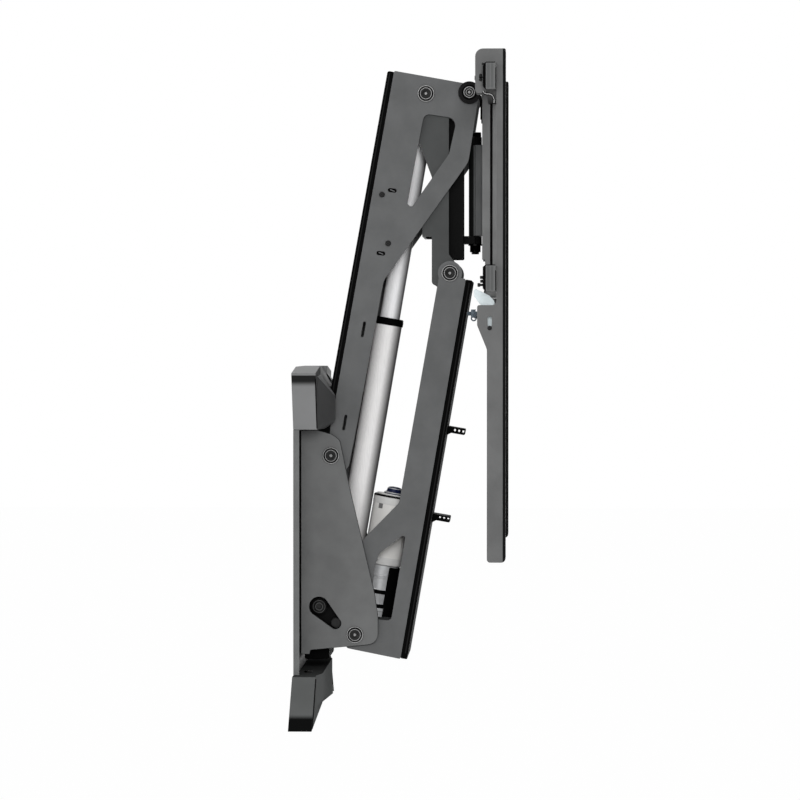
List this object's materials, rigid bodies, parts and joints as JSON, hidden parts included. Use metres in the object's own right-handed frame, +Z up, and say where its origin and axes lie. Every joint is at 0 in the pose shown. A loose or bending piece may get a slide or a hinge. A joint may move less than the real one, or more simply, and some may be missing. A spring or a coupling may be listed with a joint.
{
  "type": "motorized tv wall mount",
  "caption": "Pull-down wall mount for a flat screen: two parallel arms and a tube actuator lower a swivelling head with bars and screen rails from above.",
  "frame": {"origin": "centre of the wall plate's back face, on the wall", "axes": "+X along the wall, -Y away from the wall towards the screen, +Z up"},
  "size_m": [0.4608, 0.1968, 0.6126],
  "materials": {
    "dark_steel": "satin dark grey powder coat",
    "rail_steel": "satin grey powder coat",
    "black_steel": "satin black powder coat",
    "cover_plastic": "fine textured grey plastic",
    "black_plastic": "satin black plastic",
    "black_bolt": "black oxide steel",
    "zinc_steel": "zinc plated",
    "pale_zinc": "bright zinc plated sheet",
    "roller_rubber": "matt black rubber",
    "tube_aluminium": "satin anodised",
    "rod_chrome": "ground and polished",
    "motor_steel": "plated can with a bare pale wrap",
    "cap_plastic": "dark blue plastic",
    "nut_plastic": "cream acetal"
  },
  "bodies": {
    "wall_unit": {"wall_plate": "dark_steel", "wall_bracket": "dark_steel", "upper_cover": "cover_plastic", "lower_cover": "cover_plastic", "cover_screws": "black_bolt", "control_box": "black_plastic", "anchor_bracket": "dark_steel", "anchor_pin": "zinc_steel", "anchor_bolts": "black_bolt", "pivot_bolts_a": "black_bolt", "pivot_bolts_d": "black_bolt"},
    "upper_arm_unit": {"upper_arm": "dark_steel", "upper_cable_cover": "black_plastic", "upper_arm_bushes": "black_plastic", "roller_screws": "zinc_steel"},
    "roller_left": {"roller_hub_left": "black_plastic", "roller_tyre_left": "roller_rubber"},
    "roller_right": {"roller_hub_right": "black_plastic", "roller_tyre_right": "roller_rubber"},
    "lower_arm_unit": {"lower_arm": "dark_steel", "lower_cable_cover": "black_plastic", "cable_clips": "black_plastic", "lower_arm_bushes": "black_plastic"},
    "head_link": {"link_bracket": "dark_steel", "swivel_bracket": "black_steel", "pivot_bolts_b": "black_bolt", "pivot_bolts_c": "black_bolt", "rod_spacers": "zinc_steel", "swivel_bolt": "black_bolt"},
    "head": {"swivel_knuckle": "dark_steel", "head_plate": "dark_steel", "head_bolts": "black_bolt", "upper_bar": "dark_steel", "lower_bar": "dark_steel", "bar_end_caps": "cover_plastic", "wear_pads": "black_plastic"},
    "rail_unit_left": {"rail_left": "rail_steel", "level_screw_left": "black_bolt", "lock_stud_left": "zinc_steel", "pawl_pin_left": "zinc_steel"},
    "rail_unit_right": {"rail_right": "rail_steel", "level_screw_right": "black_bolt", "lock_stud_right": "zinc_steel", "pawl_pin_right": "zinc_steel"},
    "lock_pawl_left": {"pawl_left": "pale_zinc"},
    "lock_pawl_right": {"pawl_right": "pale_zinc"},
    "actuator_body": {"actuator_tube": "tube_aluminium", "tube_collar": "black_plastic", "gearbox_housing": "black_plastic", "gear_stage": "zinc_steel", "motor_can": "motor_steel", "motor_cap": "cap_plastic", "rear_eye": "zinc_steel", "lead_screw": "zinc_steel"},
    "actuator_rod": {"piston_rod": "rod_chrome", "rod_eye": "zinc_steel", "drive_nut": "nut_plastic"}
  },
  "joints": [
    {"name": "arm_lift", "type": "hinge", "parent": "wall_unit", "child": "upper_arm_unit", "pos_m": [0, -0.0323, 0.0882], "axis": [1, 0, 0], "range_deg": [0, 92]},
    {"name": "lower_arm_follow", "type": "hinge", "parent": "wall_unit", "child": "lower_arm_unit", "pos_m": [0, -0.0547, -0.0796], "axis": [1, 0, 0], "range_deg": [0, 92]},
    {"name": "link_level", "type": "hinge", "parent": "upper_arm_unit", "child": "head_link", "pos_m": [0, -0.12112, 0.42674], "axis": [1, 0, 0], "range_deg": [-92, 0]},
    {"name": "actuator_tilt", "type": "hinge", "parent": "wall_unit", "child": "actuator_body", "pos_m": [0, -0.0365, -0.069], "axis": [1, 0, 0], "range_deg": [0, 70.62]},
    {"name": "rod_stroke", "type": "slide", "parent": "actuator_body", "child": "actuator_rod", "axis": [0, -0.1683, 0.9857], "range_m": [-0.16717, 0]},
    {"name": "head_swivel", "type": "hinge", "parent": "head_link", "child": "head", "pos_m": [0, -0.16651, 0.34174], "axis": [0, 0, 1], "range_deg": [-5, 5]},
    {"name": "rail_slide_left", "type": "slide", "parent": "head", "child": "rail_unit_left", "axis": [1, 0, 0], "range_m": [-0.008, 0.1]},
    {"name": "rail_slide_right", "type": "slide", "parent": "head", "child": "rail_unit_right", "axis": [-1, 0, 0], "range_m": [-0.008, 0.1]},
    {"name": "pawl_release_left", "type": "hinge", "parent": "rail_unit_left", "child": "lock_pawl_left", "pos_m": [-0.2, -0.18362, 0.22274], "axis": [-1, 0, 0], "range_deg": [0, 20], "stiffness_Nm_per_rad": 0.02, "springref_deg": -22.92},
    {"name": "pawl_release_right", "type": "hinge", "parent": "rail_unit_right", "child": "lock_pawl_right", "pos_m": [0.2, -0.18362, 0.22274], "axis": [-1, 0, 0], "range_deg": [0, 20], "stiffness_Nm_per_rad": 0.02, "springref_deg": -22.92},
    {"name": "roller_spin_left", "type": "hinge", "parent": "upper_arm_unit", "child": "roller_left", "pos_m": [-0.0549, -0.16181, 0.42714], "axis": [1, 0, 0], "continuous": true},
    {"name": "roller_spin_right", "type": "hinge", "parent": "upper_arm_unit", "child": "roller_right", "pos_m": [0.0549, -0.16181, 0.42714], "axis": [1, 0, 0], "continuous": true}
  ],
  "couplings": [
    {"joint": "lower_arm_follow", "follows": "arm_lift", "ratio": 1},
    {"joint": "link_level", "follows": "arm_lift", "ratio": -1},
    {"joint": "actuator_tilt", "follows": "arm_lift", "ratio": 0.76747},
    {"joint": "rod_stroke", "follows": "arm_lift", "m_per_rad": -0.10405}
  ]
}
